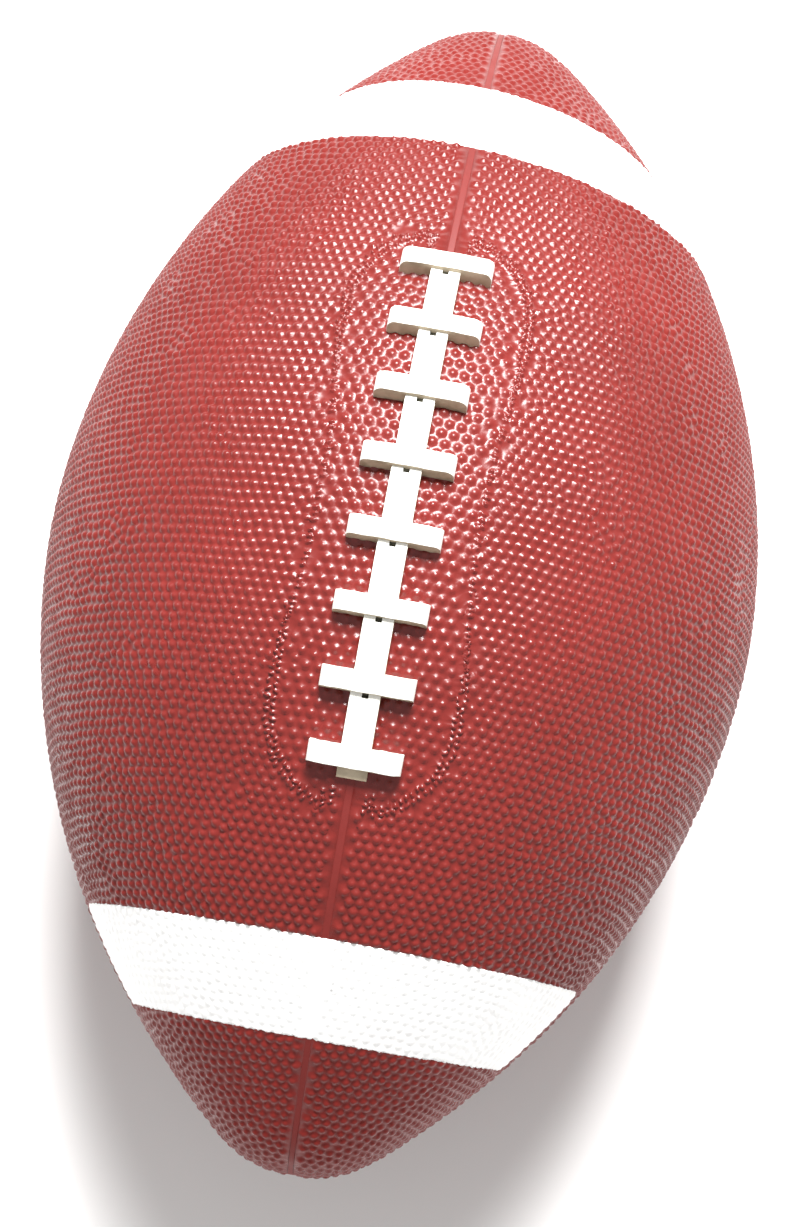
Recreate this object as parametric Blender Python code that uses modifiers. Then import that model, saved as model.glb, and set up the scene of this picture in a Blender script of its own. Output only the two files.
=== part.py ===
"""A moulded rubber American football, lying on its belly with the laces up.

The ball's long axis is X, the laces face +Z and the origin is the centre of the ball.
From the inside out it has a butyl bladder with its needle valve, a nylon-wound carcass,
four rubber cover panels, the seam strips that close the joints between them, two printed
white bands, and a white lace: one spine with eight cross bars over it.
"""
import math

import bmesh
import bpy
from mathutils import Matrix, Vector

# Driving dimensions, in metres.
HALF_LENGTH = 0.1425
MAX_RADIUS = 0.0850
TIP_FULLNESS = 1.90         # exponent along the axis: higher is fuller towards the tips
SHOULDER_ROUNDNESS = 0.696  # exponent across the axis: 0.5 would be an ellipsoid
TIP_BLUNTNESS = 0.178       # how far that exponent falls at the tips, which rounds them
TIP_BLUNT_REACH = 17.7      # higher keeps the rounding closer to the tips
GAP = 0.0003               # between neighbouring solids

COVER_THICKNESS = 0.0018
CARCASS_THICKNESS = 0.0008
BLADDER_THICKNESS = 0.0009
SEAM_WIDTH = 0.0020
SEAM_RECESS = 0.0001

BAND_INNER_X = 0.0933
BAND_OUTER_X = 0.1142
BAND_BOW = 0.0043          # how far a band bends towards the middle a quarter turn from the lace
FRONT_BAND_SKEW = 0.0029   # the front band is printed a little askew
BAND_THICKNESS = 0.0003
BAND_END_ANGLE = math.radians(5.0)
BAND_CORNER = 0.0030

BAR_COUNT = 8
BAR_PITCH = 0.01645
LACE_SHIFT = 0.0010        # how far the middle of the lace lies towards the front tip
BAR_LENGTH = 0.0209
BAR_WIDTH = 0.0045
BAR_HEIGHT = 0.0034
BAR_END_HEIGHT = 0.0012
BAR_END_RUN = 0.0019
BAR_BEVEL = 0.00025
SPINE_WIDTH = 0.0067
SPINE_HEIGHT = 0.0023
SPINE_TAB = 0.0026
SPINE_TAB_HEIGHT = 0.0014
SPINE_INSET = 0.0010

VALVE_ANGLE = math.radians(225.0)  # from +Y through +Z: the middle of the right belly panel
VALVE_NECK_RADIUS = 0.0042
VALVE_FLANGE_RADIUS = 0.0110
VALVE_FLANGE_THICKNESS = 0.0016
VALVE_BODY_RADIUS = 0.0050
VALVE_BODY_DEPTH = 0.0170
VALVE_CORE_RADIUS = 0.0023
VALVE_MOUTH_RADIUS = 0.0010

# Depths of the layers' outer faces below the cover's outer face.
CARCASS_DEPTH = COVER_THICKNESS + GAP
BLADDER_DEPTH = CARCASS_DEPTH + CARCASS_THICKNESS + GAP
CAVITY_DEPTH = BLADDER_DEPTH + BLADDER_THICKNESS

# Facets of the outer face and of the hidden layers: the coarse grid's points lie on the fine grid's.
FINE_GRID = (56, 28)
COARSE_GRID = (28, 14)

COLOURS = {
    "cover": (0.36, 0.045, 0.045, 0.48, 0.0),
    "seam": (0.34, 0.045, 0.045, 0.55, 0.0),
    "winding": (0.70, 0.66, 0.56, 0.75, 0.0),
    "bladder": (0.03, 0.03, 0.03, 0.60, 0.0),
    "valve": (0.05, 0.02, 0.02, 0.50, 0.0),
    "band": (0.88, 0.88, 0.86, 0.45, 0.0),
    "lace": (0.86, 0.85, 0.78, 0.42, 0.0),
}


def clear_scene():
    for obj in list(bpy.data.objects):
        bpy.data.objects.remove(obj, do_unlink=True)


def new_collection(name):
    collection = bpy.data.collections.new(name)
    bpy.context.scene.collection.children.link(collection)
    return collection


def new_material(name, colour_key):
    """A Principled material with the named colour, roughness and metallic value."""
    red, green, blue, roughness, metallic = COLOURS[colour_key]
    material = bpy.data.materials.new(name)
    material.use_nodes = True
    shader = material.node_tree.nodes["Principled BSDF"]
    shader.inputs["Base Color"].default_value = (red, green, blue, 1.0)
    shader.inputs["Roughness"].default_value = roughness
    shader.inputs["Metallic"].default_value = metallic
    return material


def add_object(name, data, collection, colour_key=None):
    obj = bpy.data.objects.new(name, data)
    collection.objects.link(obj)
    if colour_key:
        data.materials.append(new_material(name, colour_key))
    else:
        obj.hide_render = True
        obj.display_type = "WIRE"
    return obj


def mesh_from(name, bm):
    mesh = bpy.data.meshes.new(name)
    bm.to_mesh(mesh)
    bm.free()
    return mesh


def radius_at(x, depth=0.0):
    """Radius of the layer whose outer face is depth below the cover's outer face."""
    along = min(1.0, abs(x) / (HALF_LENGTH - depth))
    roundness = SHOULDER_ROUNDNESS - TIP_BLUNTNESS * along**TIP_BLUNT_REACH
    return (MAX_RADIUS - depth) * (1.0 - along**TIP_FULLNESS) ** roundness


def slope_at(x):
    """How fast the cover's radius changes along the axis at x."""
    step = 1e-5
    return (radius_at(x + step) - radius_at(x - step)) / (2.0 * step)


def on_cover(x, angle, lift):
    """A point lift above the cover, at x and at angle about the axis, from +Y through +Z."""
    radius = radius_at(x)
    slope = slope_at(x)
    length = math.hypot(1.0, slope)
    across = radius + lift / length
    return Vector((x - lift * slope / length, across * math.cos(angle), across * math.sin(angle)))


def x_at_arc(arc):
    """Where the lace meridian, followed for this length from the middle, is along the axis."""
    x = 0.0
    steps = 200
    for _ in range(steps):
        x += arc / steps / math.hypot(1.0, slope_at(x))
    return x


def ball_mesh(name, depth, grid):
    """The closed surface of one layer: a sphere whose poles are drawn out into the two tips."""
    bm = bmesh.new()
    bmesh.ops.create_uvsphere(bm, u_segments=grid[0], v_segments=grid[1], radius=1.0)
    for vert in bm.verts:
        x = (HALF_LENGTH - depth) * max(-1.0, min(1.0, vert.co.z))
        angle = math.atan2(vert.co.y, vert.co.x)
        radius = radius_at(x, depth)
        vert.co = (x, radius * math.cos(angle), radius * math.sin(angle))
    return mesh_from(name, bm)


def box_mesh(name, low, high):
    bm = bmesh.new()
    size = [b - a for a, b in zip(low, high)]
    middle = [(a + b) / 2.0 for a, b in zip(low, high)]
    matrix = Matrix.Translation(middle) @ Matrix.Diagonal((*size, 1.0))
    bmesh.ops.create_cube(bm, size=1.0, matrix=matrix)
    return mesh_from(name, bm)


def add_boolean(obj, operation, cutter):
    modifier = obj.modifiers.new(f"{operation.lower()}_{cutter.name}", "BOOLEAN")
    modifier.operation = operation
    modifier.solver = "EXACT"
    modifier.object = cutter


def valve_matrix():
    """Turns local +Z to the valve's outward direction."""
    direction = Vector((0.0, math.cos(VALVE_ANGLE), math.sin(VALVE_ANGLE)))
    return direction.to_track_quat("Z", "X").to_matrix().to_4x4()


def make_cutters(collection):
    cutters = {
        "cover_inside": add_object(
            "cover_inside", ball_mesh("cover_inside", COVER_THICKNESS, COARSE_GRID), collection
        ),
        "seam_outside": add_object(
            "seam_outside", ball_mesh("seam_outside", SEAM_RECESS, FINE_GRID), collection
        ),
        "carcass_inside": add_object(
            "carcass_inside",
            ball_mesh("carcass_inside", CARCASS_DEPTH + CARCASS_THICKNESS, COARSE_GRID),
            collection,
        ),
        "bladder_inside": add_object(
            "bladder_inside", ball_mesh("bladder_inside", CAVITY_DEPTH, COARSE_GRID), collection
        ),
    }
    bm = bmesh.new()
    depth = 0.020
    bmesh.ops.create_cone(
        bm,
        cap_ends=True,
        segments=24,
        radius1=VALVE_NECK_RADIUS + GAP,
        radius2=VALVE_NECK_RADIUS + GAP,
        depth=2.0 * depth,
        matrix=Matrix.Translation((0.0, 0.0, MAX_RADIUS)),
    )
    hole = add_object("valve_hole", mesh_from("valve_hole", bm), collection)
    hole.matrix_world = valve_matrix()
    cutters["valve_hole"] = hole
    return cutters


def make_cover(parts, cutter_collection, cutters):
    """Four quarter shells, each a quadrant of the ball less its inside, set back from the seams."""
    edge = SEAM_WIDTH / 2.0 + GAP
    reach = 2.0 * HALF_LENGTH
    quadrants = {
        "cover_panel_lace_left": (1, 1),
        "cover_panel_lace_right": (-1, 1),
        "cover_panel_belly_left": (1, -1),
        "cover_panel_belly_right": (-1, -1),
    }
    for name, (side, height) in quadrants.items():
        ys = sorted((side * edge, side * reach))
        zs = sorted((height * edge, height * reach))
        box = box_mesh(f"{name}_quadrant", (-reach, ys[0], zs[0]), (reach, ys[1], zs[1]))
        quadrant = add_object(f"{name}_quadrant", box, cutter_collection)
        panel = add_object(name, ball_mesh(name, 0.0, FINE_GRID), parts, "cover")
        add_boolean(panel, "INTERSECT", quadrant)
        add_boolean(panel, "DIFFERENCE", cutters["cover_inside"])
        if name == "cover_panel_belly_right":
            add_boolean(panel, "DIFFERENCE", cutters["valve_hole"])


def make_seams(parts, cutters):
    """A closed loop over both tips under the lace, and one strip along each side."""
    half = SEAM_WIDTH / 2.0
    side_start = half + GAP
    reach = 2.0 * HALF_LENGTH
    strips = {
        "seam_strip_lace_loop": ((-reach, -half, -reach), (reach, half, reach)),
        "seam_strip_left": ((-reach, side_start, -half), (reach, reach, half)),
        "seam_strip_right": ((-reach, -reach, -half), (reach, -side_start, half)),
    }
    for name, (low, high) in strips.items():
        strip = add_object(name, box_mesh(name, low, high), parts, "seam")
        add_boolean(strip, "INTERSECT", cutters["seam_outside"])
        add_boolean(strip, "DIFFERENCE", cutters["cover_inside"])


def make_inner_layers(parts, cutters):
    """The wound carcass and the bladder: whole shells, open only where the valve passes."""
    layers = (
        ("wound_carcass", CARCASS_DEPTH, "carcass_inside", "winding"),
        ("bladder", BLADDER_DEPTH, "bladder_inside", "bladder"),
    )
    for name, depth, inside, colour_key in layers:
        layer = add_object(name, ball_mesh(name, depth, COARSE_GRID), parts, colour_key)
        add_boolean(layer, "DIFFERENCE", cutters[inside])
        add_boolean(layer, "DIFFERENCE", cutters["valve_hole"])


def turned(name, profile, closed, parts, colour_key):
    """A solid of revolution about local Z from (radius, height) points down its outer side."""
    mesh = bpy.data.meshes.new(name)
    points = [(radius, 0.0, height) for radius, height in profile]
    edges = [(i, i + 1) for i in range(len(points) - 1)]
    if closed:
        edges.append((len(points) - 1, 0))
    mesh.from_pydata(points, edges, [])
    obj = add_object(name, mesh, parts, colour_key)
    screw = obj.modifiers.new("turn", "SCREW")
    screw.axis = "Z"
    screw.steps = 24
    screw.render_steps = 24
    screw.use_merge_vertices = True
    screw.merge_threshold = 0.00001
    screw.use_smooth_shade = True
    return obj


def make_valve(parts):
    """The valve boot is cemented inside the bladder, and its neck comes out through the cover."""
    top = MAX_RADIUS - GAP
    flange_top = MAX_RADIUS - CAVITY_DEPTH - 0.0016
    flange_bottom = flange_top - VALVE_FLANGE_THICKNESS
    bottom = MAX_RADIUS - VALVE_BODY_DEPTH
    bore = VALVE_CORE_RADIUS + GAP
    shoulder = top - 0.0025
    dish = 0.0004
    boot = [
        (VALVE_NECK_RADIUS - dish, top),
        (VALVE_NECK_RADIUS, top - dish),
        (VALVE_NECK_RADIUS, flange_top),
        (VALVE_FLANGE_RADIUS - dish, flange_top),
        (VALVE_FLANGE_RADIUS, flange_top - dish),
        (VALVE_FLANGE_RADIUS, flange_bottom),
        (VALVE_BODY_RADIUS, flange_bottom),
        (VALVE_BODY_RADIUS, bottom),
        (bore, bottom),
        (bore, shoulder),
        (VALVE_MOUTH_RADIUS, shoulder),
        (VALVE_MOUTH_RADIUS, top - dish),
        (VALVE_MOUTH_RADIUS + dish, top - dish),
    ]
    core_top = shoulder - GAP
    core_bottom = bottom + 0.0010
    core = [
        (0.0, core_top - 0.0010),
        (0.0005, core_top),
        (VALVE_CORE_RADIUS - dish, core_top),
        (VALVE_CORE_RADIUS, core_top - dish),
        (VALVE_CORE_RADIUS, core_bottom + dish),
        (VALVE_CORE_RADIUS - dish, core_bottom),
        (0.0, core_bottom),
    ]
    turned("valve_boot", boot, True, parts, "valve").matrix_world = valve_matrix()
    turned("valve_core", core, False, parts, "valve").matrix_world = valve_matrix()


def draped_slab(name, columns, rows, place, parts, colour_key):
    """A slab over the cover. place(u, v, top) gives a point, with u and v from -1 to 1."""
    bm = bmesh.new()
    bmesh.ops.create_grid(bm, x_segments=columns, y_segments=rows, size=1.0)
    flat = {vert: (vert.co.x, vert.co.y) for vert in bm.verts}
    bottom = list(bm.verts)
    grown = bmesh.ops.extrude_face_region(bm, geom=bm.faces[:])
    above = [item for item in grown["geom"] if isinstance(item, bmesh.types.BMVert)]
    for vert in above:
        u, v = vert.co.x, vert.co.y
        vert.co = place(u, v, True)
    for vert in bottom:
        if vert.is_valid:
            vert.co = place(*flat[vert], False)
    bmesh.ops.recalc_face_normals(bm, faces=bm.faces)
    if bm.calc_volume(signed=True) < 0.0:
        bmesh.ops.reverse_faces(bm, faces=bm.faces)
    return add_object(name, mesh_from(name, bm), parts, colour_key)


def make_bands(parts):
    """The two printed bands, over the lace-side panels only, with rounded corners."""
    half_width = (BAND_OUTER_X - BAND_INNER_X) / 2.0
    middle = (BAND_OUTER_X + BAND_INNER_X) / 2.0
    half_sweep = math.pi / 2.0 - BAND_END_ANGLE

    def place_on(sign, skew):
        def place(u, v, top):
            angle = math.pi / 2.0 + half_sweep * math.sin(u * math.pi / 2.0)
            to_end = (half_sweep - abs(angle - math.pi / 2.0)) * radius_at(middle)
            short = max(0.0, BAND_CORNER - to_end)
            trim = BAND_CORNER - math.sqrt(BAND_CORNER**2 - min(short, BAND_CORNER) ** 2)
            bend = BAND_BOW * (1.0 - math.cos(angle - math.pi / 2.0))
            x = sign * (middle + v * (half_width - trim) - bend)
            x -= skew * math.sin(angle - math.pi / 2.0)
            lift = GAP + (BAND_THICKNESS if top else 0.0)
            return on_cover(x, angle, lift)

        return place

    draped_slab("white_band_front", 40, 3, place_on(1.0, FRONT_BAND_SKEW), parts, "band")
    draped_slab("white_band_rear", 40, 3, place_on(-1.0, 0.0), parts, "band")


def make_spine(parts):
    """The strip under the bars, with a low tab past the last bar at the rear end."""
    half_body = (BAR_COUNT - 1) * BAR_PITCH / 2.0 + BAR_WIDTH / 2.0
    rear_body = LACE_SHIFT - half_body
    rear_end = rear_body - SPINE_TAB
    front_end = LACE_SHIFT + half_body - SPINE_INSET
    ramp = 0.0008

    def place(u, v, top):
        arc = rear_end + (front_end - rear_end) * (u + 1.0) / 2.0
        x = x_at_arc(arc)
        past = min(1.0, max(0.0, (rear_body - arc + ramp) / ramp))
        height = SPINE_HEIGHT + (SPINE_TAB_HEIGHT - SPINE_HEIGHT) * past
        point = on_cover(x, math.pi / 2.0, height if top else GAP)
        return Vector((point.x, v * SPINE_WIDTH / 2.0, point.z))

    spine = draped_slab("lace_spine", 44, 2, place, parts, "lace")
    bevel = spine.modifiers.new("rounded_edges", "BEVEL")
    bevel.width = BAR_BEVEL
    bevel.segments = 1
    bevel.limit_method = "ANGLE"
    bevel.angle_limit = math.radians(60.0)


def bar_outline(radius):
    """The bar's side view as (across, up) points: it sits on the cover and bridges the spine."""
    half = BAR_LENGTH / 2.0
    slot_half = SPINE_WIDTH / 2.0 + GAP
    slot_top = SPINE_HEIGHT + GAP

    def drop(across):
        return radius - math.sqrt(radius**2 - across**2)

    points = []
    for i in range(4):
        across = -half + (half - slot_half) * i / 3.0
        points.append((across, GAP - drop(across)))
    points.append((-slot_half, slot_top))
    points.append((slot_half, slot_top))
    for i in range(4):
        across = slot_half + (half - slot_half) * i / 3.0
        points.append((across, GAP - drop(across)))
    steps = 6
    rise = BAR_HEIGHT - BAR_END_HEIGHT
    crown = []
    for i in range(steps + 1):
        turn = math.pi / 2.0 * i / steps
        across = half - BAR_END_RUN * (1.0 - math.cos(turn))
        crown.append((across, BAR_END_HEIGHT + rise * math.sin(turn) - drop(across)))
    points += crown
    points.append((0.0, BAR_HEIGHT))
    points += [(-across, up) for across, up in reversed(crown)]
    return points


def make_bars(parts):
    """Eight cross bars, square to the meridian, from the tip at -X to the tip at +X."""
    for number in range(1, BAR_COUNT + 1):
        name = f"lace_bar_{number}"
        arc = LACE_SHIFT + (number - (BAR_COUNT + 1) / 2.0) * BAR_PITCH
        x = x_at_arc(arc)
        slope = slope_at(x)
        tilt = math.atan(slope)
        curve = bpy.data.curves.new(name, "CURVE")
        curve.dimensions = "2D"
        curve.fill_mode = "BOTH"
        curve.extrude = BAR_WIDTH / 2.0
        outline = bar_outline(radius_at(x) / math.cos(tilt))
        spline = curve.splines.new("POLY")
        spline.points.add(len(outline) - 1)
        for point, (across, up) in zip(spline.points, outline):
            point.co = (across, up, 0.0, 1.0)
        spline.use_cyclic_u = True
        bar = add_object(name, curve, parts, "lace")
        along = Vector((math.cos(tilt), 0.0, math.sin(tilt)))
        up = Vector((-math.sin(tilt), 0.0, math.cos(tilt)))
        across = up.cross(along)
        turn = Matrix((across, up, along)).transposed().to_4x4()
        bar.matrix_world = Matrix.Translation((x, 0.0, radius_at(x))) @ turn
        weld = bar.modifiers.new("join_caps", "WELD")
        weld.merge_threshold = 0.00001
        bevel = bar.modifiers.new("rounded_edges", "BEVEL")
        bevel.width = BAR_BEVEL
        bevel.segments = 1
        bevel.limit_method = "ANGLE"
        bevel.angle_limit = math.radians(60.0)


def main():
    clear_scene()
    parts = new_collection("american_football")
    cutter_collection = new_collection("cutters")
    cutters = make_cutters(cutter_collection)
    make_cover(parts, cutter_collection, cutters)
    make_seams(parts, cutters)
    make_inner_layers(parts, cutters)
    make_valve(parts)
    make_bands(parts)
    make_spine(parts)
    make_bars(parts)


main()
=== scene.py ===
"""The looks of a moulded rubber American football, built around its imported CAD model.

The ball's long axis is X, the lace faces +Z and the origin is the centre of the ball.
A place on the cover is given in two ways. "u, angle" is a flat map that keeps shapes: angle
runs about the axis from +Y through +Z, and u runs along the axis so that a small circle on
the map is a small circle on the ball. "arc, side" is used near the lace: arc is the distance
along the lace meridian from its middle, and side the distance across from it, towards -Y.
"""
import math

import bmesh
import bpy
import numpy as np
from mathutils import Matrix, Vector
from mathutils.geometry import delaunay_2d_cdt
from mathutils.kdtree import KDTree


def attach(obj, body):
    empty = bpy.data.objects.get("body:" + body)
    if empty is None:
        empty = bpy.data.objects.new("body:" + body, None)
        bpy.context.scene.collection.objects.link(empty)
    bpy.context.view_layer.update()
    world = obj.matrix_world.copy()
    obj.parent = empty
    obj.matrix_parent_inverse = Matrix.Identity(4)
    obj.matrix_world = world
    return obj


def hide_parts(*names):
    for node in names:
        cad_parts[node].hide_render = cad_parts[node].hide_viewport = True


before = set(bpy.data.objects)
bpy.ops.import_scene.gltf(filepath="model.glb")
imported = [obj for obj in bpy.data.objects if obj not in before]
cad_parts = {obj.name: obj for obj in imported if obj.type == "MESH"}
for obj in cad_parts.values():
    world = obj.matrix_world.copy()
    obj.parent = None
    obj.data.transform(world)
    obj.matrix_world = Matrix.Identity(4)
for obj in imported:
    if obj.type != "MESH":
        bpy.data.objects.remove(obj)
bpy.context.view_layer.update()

MM = 0.001
TAU = 2.0 * math.pi
LACE_ANGLE = math.pi / 2.0

# The cover's outline, as in the CAD model. The grain stands on a skin just under it.
HALF_LENGTH = 0.1425
MAX_RADIUS = 0.0850
TIP_FULLNESS = 1.90
SHOULDER_ROUNDNESS = 0.696
TIP_BLUNTNESS = 0.178
TIP_BLUNT_REACH = 17.7
SKIN_LIFT = -0.28 * MM

# The camera, at the viewing angle of the photograph.
CAMERA_PLACE = Vector((-0.1773, -0.0308, 0.7883))
CAMERA_FORWARD = Vector((0.2119, 0.0373, -0.9765))
CAMERA_UP = Vector((0.9607, 0.1754, 0.2151))
CAMERA_LENS = 98.15

# Pebble grain. Buttons are the wider spaced pebbles inside the border.
PEBBLE_PITCH = 2.50 * MM
BUTTON_PITCH = 2.82 * MM
PEBBLE_FILL = 0.455         # half the width, as a share of the pitch
BUTTON_FILL = 0.405
PEBBLE_HEIGHT = 0.60 * MM
BUTTON_HEIGHT = 0.58 * MM
TIP_RELIEF = 0.80           # the share of that height left at the tips, past the bands
TIP_FADE = 0.4              # how far in u the height takes to fade to that share
TIP_CLEAR = 3.4 * MM        # the cover's radius at the last pebble before a tip
SHOULDER_REACH = 0.55       # where a bump's shoulder lies, as a share of its half width
SHOULDER_LEVEL = 0.78       # and the share of the bump's height that is left there
FOOT_REACH = 0.98
VALLEY_DEPTH = 0.03 * MM
JITTER = 0.19               # of a first layout, as a share of the pitch
RELAX_STEPS = 8
RELAX_RATE = 0.24

# Seams.
EDGE_STEP = 0.75 * MM       # between points along a seam and along a panel's edge
PANEL_EDGE = 0.70 * MM      # from the middle of a seam to the panel's edge
PANEL_DEPTH = 2.0 * MM
RIM_CLEAR = 0.25 * MM       # kept free of bumps inside an edge
SEAM_CLEAR_TIP = 1.45 * MM  # from the middle of a seam to the first pebble
SEAM_CLEAR_WIDE = 2.10 * MM
RIBBON_HALF_WIDTH = 0.95 * MM
RIBBON_TIP_WIDTH = 0.72 * MM
RIBBON_DEPTH = 1.4 * MM
RIBBON_STEPS = np.array([0.0, 0.22, 0.42, 0.62, 0.85, 1.0])    # shares of its half width
RIBBON_LIFTS = np.array([0.03, 0.03, 0.02, 0.01, 0.00, -0.40]) * MM
RIBBON_SHARES = np.concatenate([-RIBBON_STEPS[:0:-1], RIBBON_STEPS])
TIP_PAD_RADIUS = 1.8 * MM

# The stitched border around the lace: one row of stitches beside the lace's middle, two rows
# of chips around its ends. A bump's size is its half length, half width and height.
BORDER_WAIST = 18.3 * MM
BORDER_WIDE = 20.8 * MM
BORDER_WAIST_REACH = 8.0 * MM
BORDER_FLARE = 32.0 * MM
BORDER_CAP_START = 46.5 * MM
BORDER_CAP_LENGTH = 22.5 * MM
BORDER_END_SIDE = 4.5 * MM
BORDER_TURN_BACK = 4.5 * MM
BORDER_STEP = 0.1 * MM
BORDER_CLEAR = 1.25 * MM
BORDER_BUMP_ROOM = 0.95 * MM
STITCH_GROUP = 5.0 * MM
STITCH_STEP = 1.35 * MM
STITCH_SIZE = (1.05 * MM, 0.54 * MM, 0.70 * MM)
STITCH_LEAN = 0.25
CHIP_STEP = 1.55 * MM
CHIP_SIZE = (0.88 * MM, 0.55 * MM, 0.74 * MM)
CHIP_START = 27.0 * MM
CHIP_BLEND = 12.0 * MM
CHIP_SPREAD = 0.75 * MM

# Printed bands.
BAND_INNER_X = 0.0933
BAND_OUTER_X = 0.1142
BAND_BOW = 4.3 * MM
FRONT_BAND_SKEW = 2.9 * MM
BAND_END_ANGLE = math.radians(5.0)
BAND_CORNER = 3.0 * MM
BAND_RAGGED = 0.07 * MM
BAND_RIM_STEP = 0.45 * MM
BAND_RIM_CLEAR = 0.13 * MM
BAND_COAT = 0.05 * MM
BAND_OVER_SEAM = 0.02 * MM
BAND_DEPTH = 0.6 * MM
INK_RECESS = 0.25 * MM      # the rubber modelled under the ink lies this much lower
INK_RELIEF = 0.5            # the share of the grain's height that shows through the ink

# Lace.
BAR_COUNT = 8
BAR_PITCH = 16.45 * MM
LACE_SHIFT = 1.0 * MM
BAR_LENGTH = 20.9 * MM
BAR_WIDTH = 4.4 * MM
BAR_FOOT = 0.6 * MM         # how much wider a bar is at its foot, nearly all of it at the rear
BAR_HEIGHT = 3.4 * MM
BAR_END_HEIGHT = 1.2 * MM
BAR_END_RUN = 1.9 * MM
BAR_END_POINTS = 12
BAR_SINK = 0.55 * MM
BAR_WAVES = ((0.05 * MM, 900.0, 2.1), (0.03 * MM, 2300.0, 1.0))    # size, rate, shift a bar
SPINE_WIDTH = 6.7 * MM
SPINE_HEIGHT = 2.3 * MM
SPINE_SINK = 0.7 * MM
SPINE_CORNER = ((0.26 * MM, 0.0), (0.06 * MM, 0.07 * MM), (0.0, 0.25 * MM))    # in, down
SPINE_STATIONS = (-4.2 * MM, -2.2 * MM, 2.2 * MM, 5.0 * MM, 7.5 * MM, 9.8 * MM)
SPINE_INSET = 1.0 * MM      # how far short of the front bar's front face the spine ends
TAB_LENGTH = 2.6 * MM
TAB_HEIGHT = 1.4 * MM
NOTCH_WIDTH = 1.4 * MM
NOTCH_LENGTH = 1.15 * MM
NOTCH_UNDER_BAR = 0.4 * MM
NOTCH_DEPTH = 1.3 * MM

# The valve, with the smooth collar around it as (radius, height) from its hole outwards.
VALVE_ANGLE = math.radians(225.0)
VALVE_HOLE = 4.45 * MM
VALVE_COLLAR = 6.4 * MM
VALVE_CLEAR = VALVE_COLLAR + 1.2 * MM
VALVE_RING_POINTS = 48
VALVE_PROFILE = (
    (VALVE_HOLE, -0.20 * MM), (4.65 * MM, 0.10 * MM), (4.95 * MM, 0.26 * MM),
    (5.6 * MM, 0.30 * MM), (6.1 * MM, 0.18 * MM), (VALVE_COLLAR, 0.0),
)

# Plain finishes: two colours, roughness, scale of the clouds, scale and height of the bumps.
FINISHES = {
    "white_ink": ((0.80, 0.79, 0.78), (0.87, 0.87, 0.86), 0.45, 60.0, 1500.0, 0.02 * MM),
    "lace_white_vinyl": ((0.74, 0.73, 0.66), (0.84, 0.83, 0.78), 0.42, 90.0, 1100.0, 0.04 * MM),
    # Painted shade: this darker tan stands in for shade on the lace faces turned away from the key light,
    # on the spine's sides and on its tab under the rear bar.
    "lace_painted_shade_vinyl": ((0.30, 0.24, 0.16), (0.46, 0.38, 0.27), 0.6, 260.0, 1100.0, 0.04 * MM),
    # Painted shade: this near black stands in for the shade inside the spine's notches under the bars.
    "lace_notch_painted_shade": ((0.035, 0.035, 0.020), (0.10, 0.09, 0.06), 0.8, 900.0, 1500.0, 0.04 * MM),
    "valve_rubber": ((0.016, 0.015, 0.015), (0.030, 0.028, 0.027), 0.5, 300.0, 2500.0, 0.03 * MM),
    "valve_core_rubber": ((0.05, 0.05, 0.05), (0.09, 0.085, 0.08), 0.55, 400.0, 2500.0, 0.03 * MM),
    "bladder_butyl": ((0.010, 0.010, 0.010), (0.022, 0.022, 0.022), 0.45, 40.0, 900.0, 0.03 * MM),
    "floor_paper": ((0.76, 0.75, 0.74), (0.80, 0.79, 0.78), 0.8, 3.0, 400.0, 0.02 * MM),
}

# Studio.
FLOOR_GAP = 0.2 * MM
KEY_PLACE = Vector((1.12, 0.0, 1.66))
KEY_SIZE = 0.72
KEY_WATTS = 136.0
SKY_STRENGTH = 0.72

rng = np.random.default_rng(9)


# ---- the cover's surface

class Meridian:
    """Tables along the cover's outline: x, radius, arc length and the map coordinate u."""

    def __init__(self):
        turn = np.linspace(0.0005, math.pi - 0.0005, 8001)
        self.x = -HALF_LENGTH * np.cos(turn)
        along = np.abs(self.x) / HALF_LENGTH
        roundness = SHOULDER_ROUNDNESS - TIP_BLUNTNESS * along**TIP_BLUNT_REACH
        self.radius = MAX_RADIUS * (1.0 - along**TIP_FULLNESS) ** roundness
        step = np.hypot(np.diff(self.x), np.diff(self.radius))
        middle_radius = (self.radius[1:] + self.radius[:-1]) / 2.0
        self.arc = np.concatenate([[0.0], np.cumsum(step)])
        self.u = np.concatenate([[0.0], np.cumsum(step / middle_radius)])
        self.arc -= np.interp(0.0, self.x, self.arc)
        self.u -= np.interp(0.0, self.x, self.u)
        slope = np.gradient(self.radius, self.x)
        length = np.hypot(1.0, slope)
        self.normal_x = -slope / length
        self.normal_r = 1.0 / length
        self.half = len(self.x) // 2

    def radius_at(self, u):
        return np.interp(u, self.u, self.radius)

    def u_at_x(self, x):
        return np.interp(x, self.x, self.u)

    def u_at_arc(self, arc):
        return np.interp(arc, self.arc, self.u)

    def arc_at_u(self, u):
        return np.interp(u, self.u, self.arc)

    def u_at_radius(self, radius):
        """The positive u where the cover has this radius."""
        return np.interp(radius, self.radius[self.half:][::-1], self.u[self.half:][::-1])

    def x_at_radius(self, radius):
        return np.interp(radius, self.radius[self.half:][::-1], self.x[self.half:][::-1])

    def point(self, u, angle, lift=0.0):
        """Points on the cover, or lift above it, as an array of (x, y, z)."""
        x = np.interp(u, self.u, self.x) + lift * np.interp(u, self.u, self.normal_x)
        radius = self.radius_at(u) + lift * np.interp(u, self.u, self.normal_r)
        return np.stack([x, radius * np.cos(angle), radius * np.sin(angle)], axis=-1)


cover = Meridian()
TIP_U = float(cover.u_at_radius(TIP_CLEAR))


def blend(value, start, length):
    """Rises evenly from 0 at start to 1 at start + length."""
    return np.clip((value - start) / length, 0.0, 1.0)


def lace_map(arc, side):
    """Map coordinates of a place near the lace."""
    u = cover.u_at_arc(arc)
    return np.stack([u, LACE_ANGLE + side / cover.radius_at(u)], axis=-1)


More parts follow.
